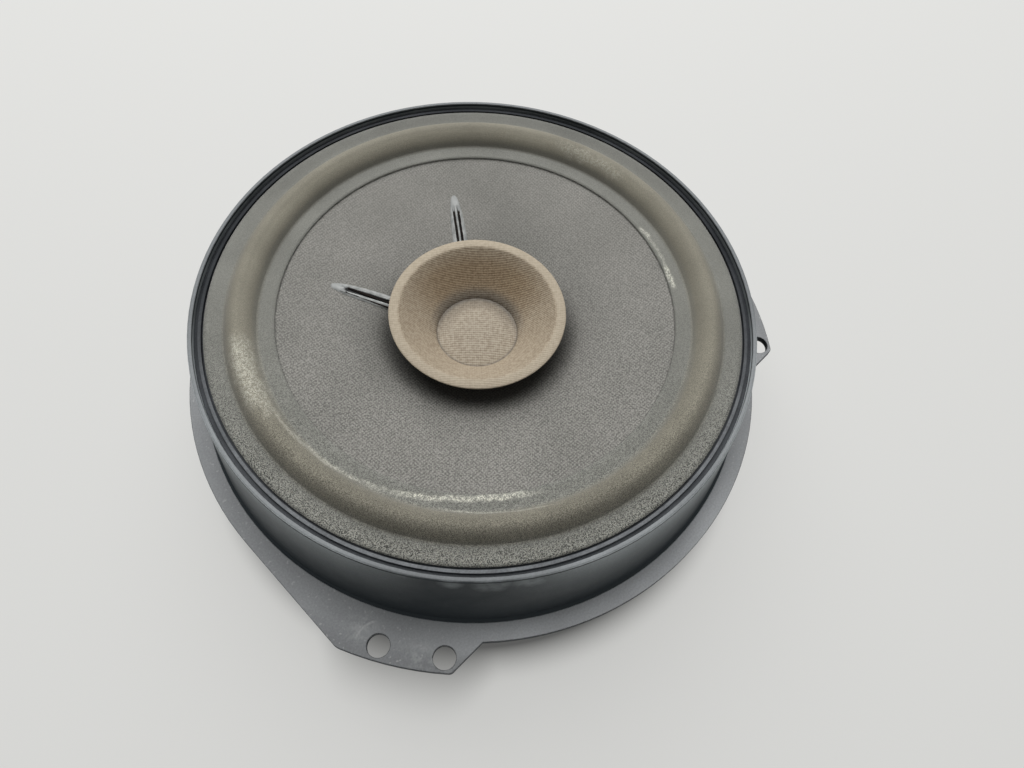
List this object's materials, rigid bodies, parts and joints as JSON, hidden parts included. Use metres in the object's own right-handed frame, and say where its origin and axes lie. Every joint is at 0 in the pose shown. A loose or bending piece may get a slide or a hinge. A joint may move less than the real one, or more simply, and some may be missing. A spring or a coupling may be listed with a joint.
{
  "type": "loudspeaker driver",
  "caption": "Car-door cone driver: tall-walled plastic basket with a rear flange and fixing lugs, rolled surround, grey cone with a whizzer cone, and a ring-magnet motor.",
  "frame": {"origin": "on the driver's axis at the mounting plane, which is the rear face of the flange", "axes": "+Z along the axis towards the listener, +Y towards the terminals and the rear lug, +X to the right seen from the front"},
  "size_m": [0.1824, 0.1907, 0.0649],
  "materials": {
    "basket_plastic": "satin moulded glass-filled plastic",
    "gasket_foam": "closed-cell foam",
    "ring_plastic": "satin moulded plastic",
    "socket_plastic": "moulded plastic",
    "plated_steel": "zinc plated, passivated",
    "ferrite": "ground sintered ferrite",
    "tinned_brass": "stamped, tinned",
    "surround_foam": "fine grained foam, dusty",
    "spider_cloth": "resin-dipped woven cloth",
    "copper_braid": "braided copper lead",
    "copper_wire": "enamelled copper",
    "cone_paper": "pressed pulp, coated",
    "whizzer_cloth": "resin-stiffened woven cloth",
    "cap_cloth": "woven cloth",
    "former_paper": "kraft paper",
    "glue": "dried clear-grey adhesive"
  },
  "bodies": {
    "frame_assembly": {"basket": "basket_plastic", "mounting_gasket": "gasket_foam", "surround_seat_ring": "ring_plastic", "top_plate": "plated_steel", "magnet": "ferrite", "back_plate": "plated_steel", "pole_piece": "plated_steel", "plate_rivets": "plated_steel", "terminal_housing": "socket_plastic", "terminal_plus": "tinned_brass", "terminal_minus": "tinned_brass", "surround": "surround_foam", "spider": "spider_cloth", "tinsel_lead_plus": "copper_braid", "tinsel_lead_minus": "copper_braid"},
    "cone_assembly": {"cone": "cone_paper", "whizzer_cone": "whizzer_cloth", "dust_cap": "cap_cloth", "coil_former": "former_paper", "coil_winding": "copper_wire", "lead_bead_plus": "glue", "lead_bead_minus": "glue", "coil_tail_plus": "copper_wire", "coil_tail_minus": "copper_wire"}
  },
  "joints": [
    {"name": "cone_travel", "type": "slide", "parent": "frame_assembly", "child": "cone_assembly", "axis": [0, 0, 1], "range_m": [-0.005, 0.005], "stiffness_N_per_m": 1200, "deforming": ["surround", "spider", "tinsel_lead_plus", "tinsel_lead_minus"]}
  ]
}
